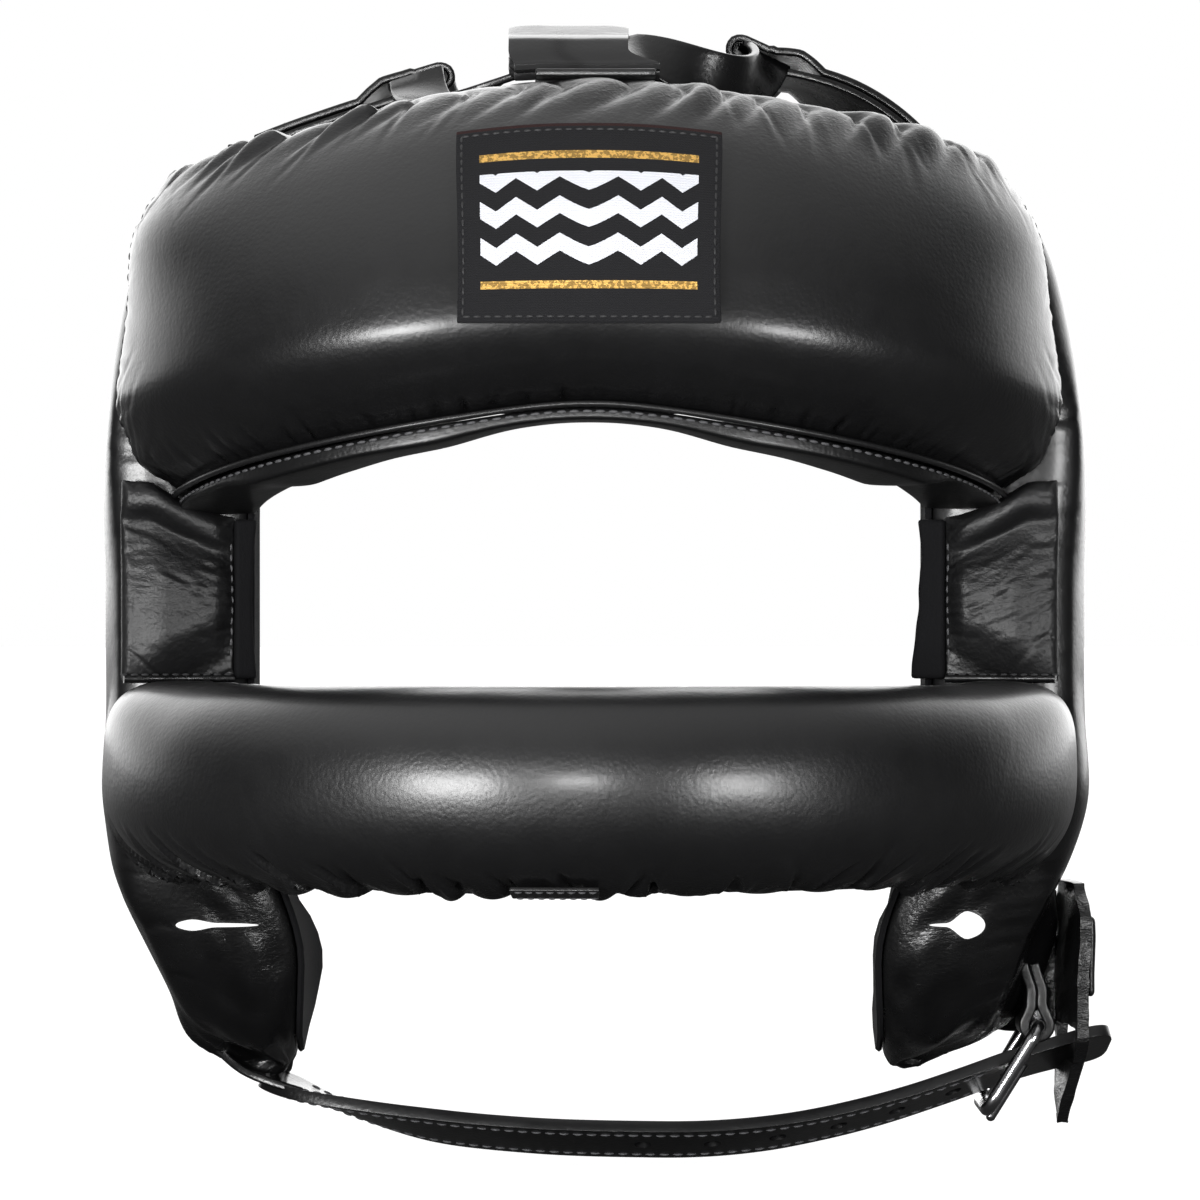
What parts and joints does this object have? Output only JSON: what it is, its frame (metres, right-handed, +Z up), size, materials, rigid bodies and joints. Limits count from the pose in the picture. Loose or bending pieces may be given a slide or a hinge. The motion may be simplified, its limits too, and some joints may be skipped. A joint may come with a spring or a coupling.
{
  "type": "boxing headgear",
  "caption": "Padded leather boxing headgear with forehead, side and jaw pads, a fat padded face bar, strapped crown, rear straps and a buckled chin strap.",
  "frame": {"origin": "middle of the head cavity at eye level, where a worn headgear is held", "axes": "+Z up, the wearer faces -Y, +X is the right-hand side of the front view"},
  "size_m": [0.2544, 0.2663, 0.2767],
  "materials": {
    "outer_leather": "smooth semi-gloss black leather",
    "trim_leather": "black binding leather, slightly duller",
    "lining": "matt black lining leather",
    "foam": "closed-cell foam, hidden",
    "woven_cloth": "dense black woven cloth",
    "stiff_rod": "natural nylon, hidden",
    "hook_loop": "black hook and loop tape",
    "buckle_steel": "bright plated steel"
  },
  "bodies": {
    "headgear": {"forehead_cover": "outer_leather", "left_side_cover": "outer_leather", "right_side_cover": "outer_leather", "left_cheek_panel": "outer_leather", "right_cheek_panel": "outer_leather", "face_bar_cover": "outer_leather", "front_crown_tab": "outer_leather", "left_crown_tab": "outer_leather", "right_crown_tab": "outer_leather", "rear_crown_tab": "outer_leather", "left_rear_strap": "outer_leather", "left_nape_strap": "outer_leather", "brow_hem": "trim_leather", "left_cheek_binding": "trim_leather", "right_cheek_binding": "trim_leather", "bar_seam_patch": "trim_leather", "crown_strap": "trim_leather", "forehead_lining": "lining", "left_side_lining": "lining", "right_side_lining": "lining", "forehead_foam": "foam", "left_side_foam": "foam", "right_side_foam": "foam", "face_bar_foam": "foam", "woven_patch": "woven_cloth", "face_bar_rod": "stiff_rod", "rear_loop_tape": "hook_loop", "nape_loop_tape": "hook_loop"},
    "chin_strap": {"chin_strap": "outer_leather", "buckle_chape": "outer_leather"},
    "buckle": {"buckle_frame": "buckle_steel"},
    "prong": {"buckle_prong": "buckle_steel"},
    "guard": {"buckle_guard": "outer_leather", "guard_patch": "trim_leather"},
    "rear_strap_end": {"right_rear_strap": "outer_leather", "rear_hook_tape": "hook_loop"},
    "nape_strap_end": {"right_nape_strap": "outer_leather", "nape_hook_tape": "hook_loop"}
  },
  "joints": [
    {"name": "chin_strap_swing", "type": "hinge", "parent": "headgear", "child": "chin_strap", "pos_m": [-0.08, -0.002, -0.1179], "axis": [0.9896, -0.0364, 0.1394], "range_deg": [-6, 6]},
    {"name": "buckle_tilt", "type": "hinge", "parent": "chin_strap", "child": "buckle", "pos_m": [0.11052, -0.009, -0.10507], "axis": [0, 1, 0], "range_deg": [-2.5, 2.5]},
    {"name": "prong_lift", "type": "hinge", "parent": "buckle", "child": "prong", "pos_m": [0.11052, -0.009, -0.10507], "axis": [0, -1, 0], "range_deg": [0, 3]},
    {"name": "guard_lift", "type": "hinge", "parent": "headgear", "child": "guard", "pos_m": [0.11979, -0.025, -0.07], "axis": [0.0698, -0.9976, 0], "range_deg": [0, 4]},
    {"name": "rear_strap_peel", "type": "hinge", "parent": "headgear", "child": "rear_strap_end", "pos_m": [0.06368, 0.08812, 0.067], "axis": [0, 0, -1], "range_deg": [0, 75]},
    {"name": "nape_strap_peel", "type": "hinge", "parent": "headgear", "child": "nape_strap_end", "pos_m": [0.07458, 0.08237, -0.05], "axis": [0, 0, -1], "range_deg": [0, 75]}
  ]
}
